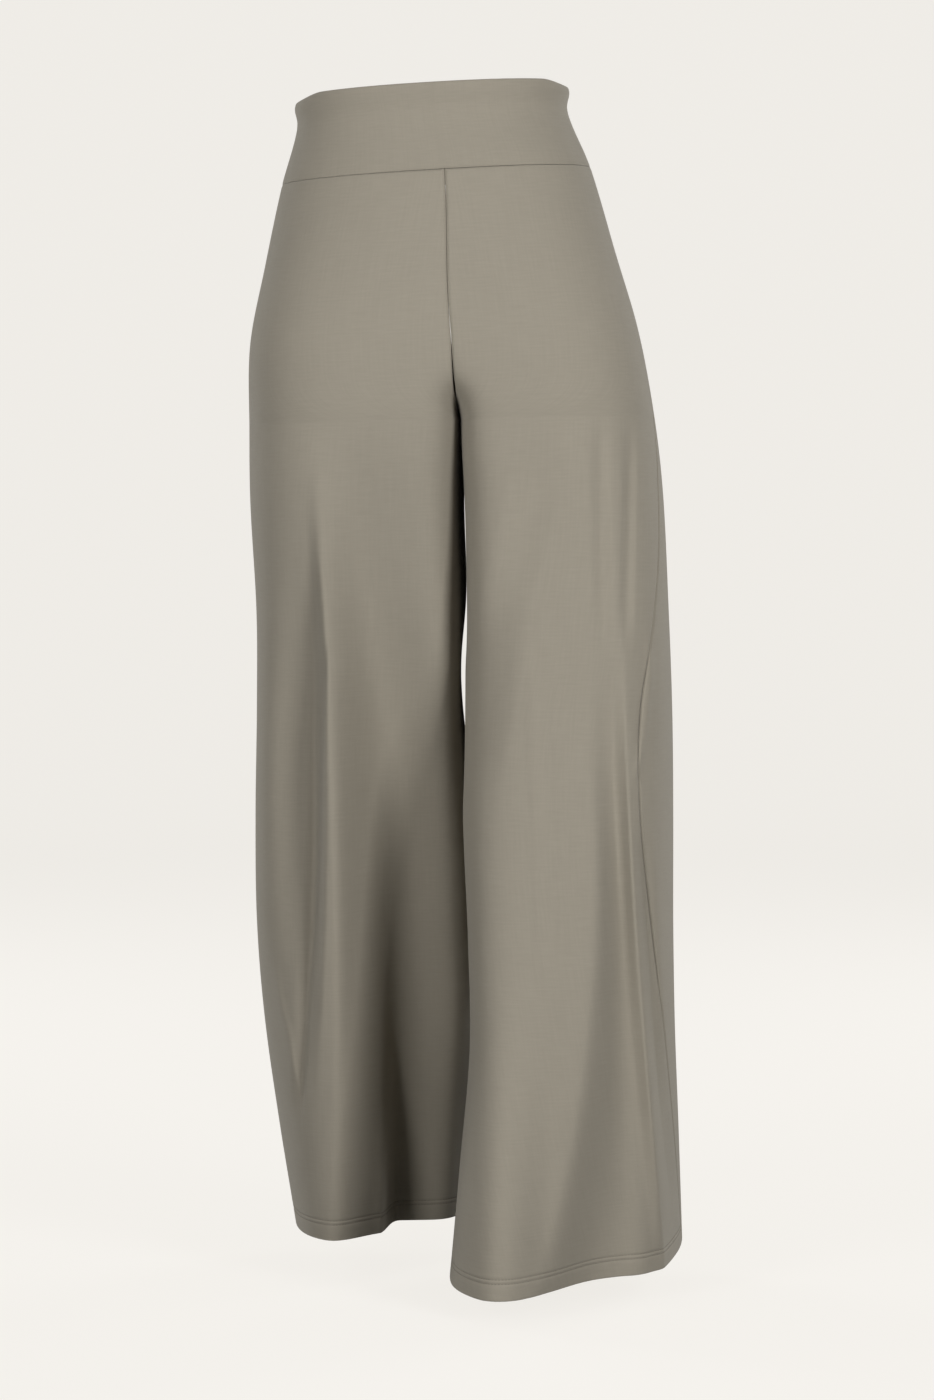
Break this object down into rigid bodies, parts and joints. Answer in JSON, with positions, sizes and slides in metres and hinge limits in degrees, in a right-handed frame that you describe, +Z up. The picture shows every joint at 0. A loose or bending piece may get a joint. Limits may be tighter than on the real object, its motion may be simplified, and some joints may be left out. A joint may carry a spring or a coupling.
{
  "type": "worn wide-leg yoga pants",
  "caption": "Wide-leg jersey yoga pants with a deep folded waistband, worn and hollow, caught in mid step with long soft folds down both legs.",
  "frame": {"origin": "middle of the waist, at the narrowest line of the waistband, where the wearer holds the pants up", "axes": "+Z up, the front of the pants faces -Y, the wearer's left is +X; the left leg steps forward along -Y"},
  "size_m": [0.3904, 0.479, 1.0594],
  "materials": {
    "jersey": "soft matt knit jersey, greyed olive taupe",
    "thread": "matt polyester sewing thread, darker than the jersey"
  },
  "bodies": {
    "root": {"waistband": "jersey", "left_back": "jersey", "left_front": "jersey", "right_back": "jersey", "right_front": "jersey"}
  },
  "joints": []
}
